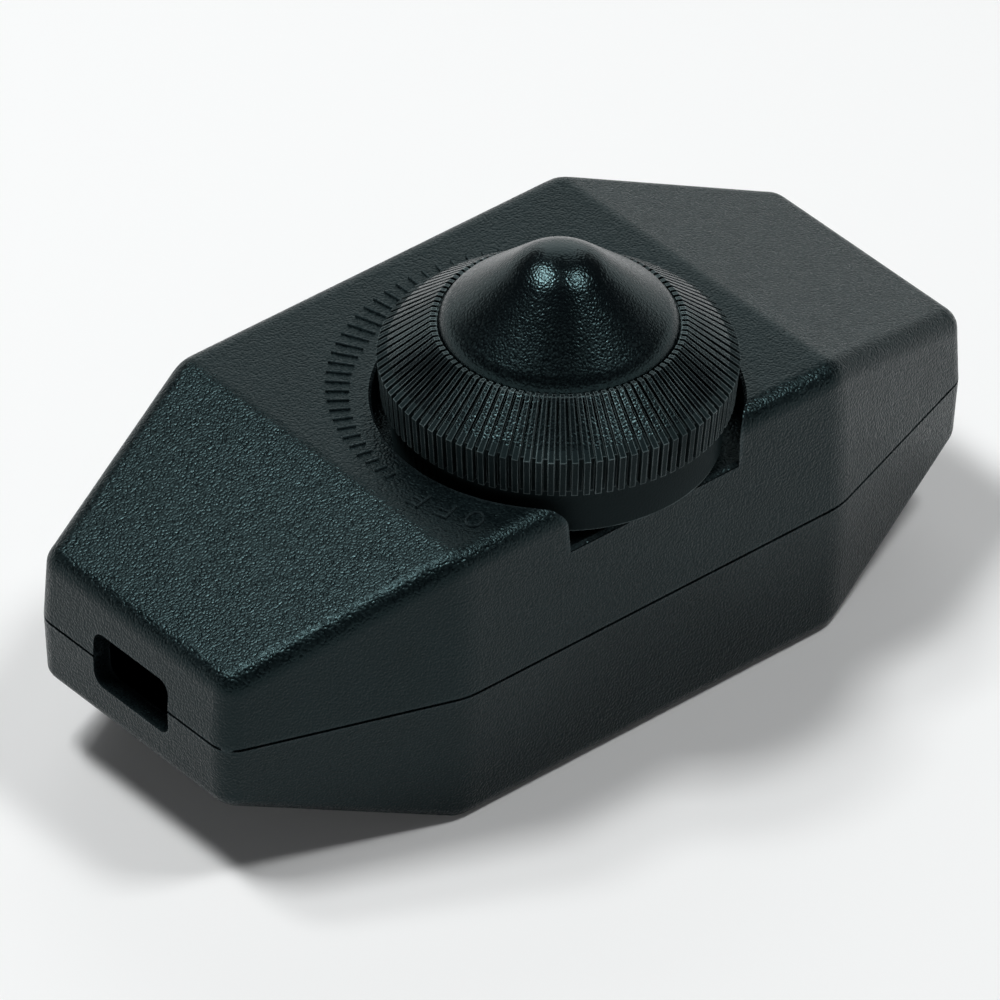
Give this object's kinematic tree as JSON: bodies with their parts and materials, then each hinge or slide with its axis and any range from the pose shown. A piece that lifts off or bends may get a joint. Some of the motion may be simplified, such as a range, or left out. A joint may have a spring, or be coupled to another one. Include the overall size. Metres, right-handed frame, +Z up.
{
  "type": "light dimmer",
  "caption": "Rotary in-line light dimmer: black two-part housing with sloped ends, a ribbed knob with a pointed dome set in a side well, and a flat cord inlet in each end.",
  "frame": {"origin": "middle of the flat resting face", "axes": "+X along the cord from the input end to the output end, -Y the side where the knob shows through the wall, +Z up along the knob's axis"},
  "size_m": [0.09, 0.0446, 0.0464],
  "materials": {
    "housing_plastic": "black moulded ABS with a fine spark-eroded grain",
    "knob_plastic": "black moulded ABS, satin",
    "clamp_plastic": "black nylon",
    "shaft_plastic": "white nylon",
    "rotor_plastic": "dark moulded plastic",
    "switch_plastic": "brown-black moulded plastic",
    "track_card": "brown paper laminate",
    "board_laminate": "bare brown laminate",
    "terminal_plastic": "green nylon",
    "contact_brass": "plain",
    "bushing_brass": "nickel plated",
    "zinc_steel": "zinc plated",
    "can_steel": "tin plated",
    "sink_aluminium": "plain sheet",
    "iron_powder": "painted ring core",
    "enamelled_wire": "enamelled copper wire",
    "mains_cap_box": "yellow box",
    "timing_cap_box": "dark red dip",
    "fuse_case": "brown-black cap",
    "resistor_lacquer": "tan lacquer",
    "diac_glass": "blue glass",
    "triac_case": "black epoxy"
  },
  "bodies": {
    "housing": {"cover_shell": "housing_plastic", "base_shell": "housing_plastic", "pot_bushing": "bushing_brass", "pot_washer": "zinc_steel", "pot_nut": "bushing_brass", "pot_track": "track_card", "pot_terminals": "contact_brass", "pot_can": "can_steel", "mains_switch": "switch_plastic", "circuit_board": "board_laminate", "choke_core": "iron_powder", "choke_winding": "enamelled_wire", "mains_capacitor": "mains_cap_box", "timing_capacitor": "timing_cap_box", "fuse": "fuse_case", "resistors": "resistor_lacquer", "diac": "diac_glass", "triac": "triac_case", "heatsink": "sink_aluminium", "triac_screw": "zinc_steel", "triac_nut": "zinc_steel", "input_terminal_block": "terminal_plastic", "output_terminal_block": "terminal_plastic", "terminal_cages": "contact_brass", "terminal_screws": "zinc_steel", "input_cord_clamp": "clamp_plastic", "output_cord_clamp": "clamp_plastic", "clamp_screws": "zinc_steel", "board_screws": "zinc_steel", "housing_screws": "zinc_steel"},
    "knob": {"dimmer_knob": "knob_plastic", "pot_shaft": "shaft_plastic", "pot_rotor": "rotor_plastic", "pot_wiper": "contact_brass"}
  },
  "joints": [
    {"name": "knob_turn", "type": "hinge", "parent": "housing", "child": "knob", "pos_m": [0, -0.00685, 0.0401], "axis": [0, 0, -1], "range_deg": [0, 300]}
  ]
}
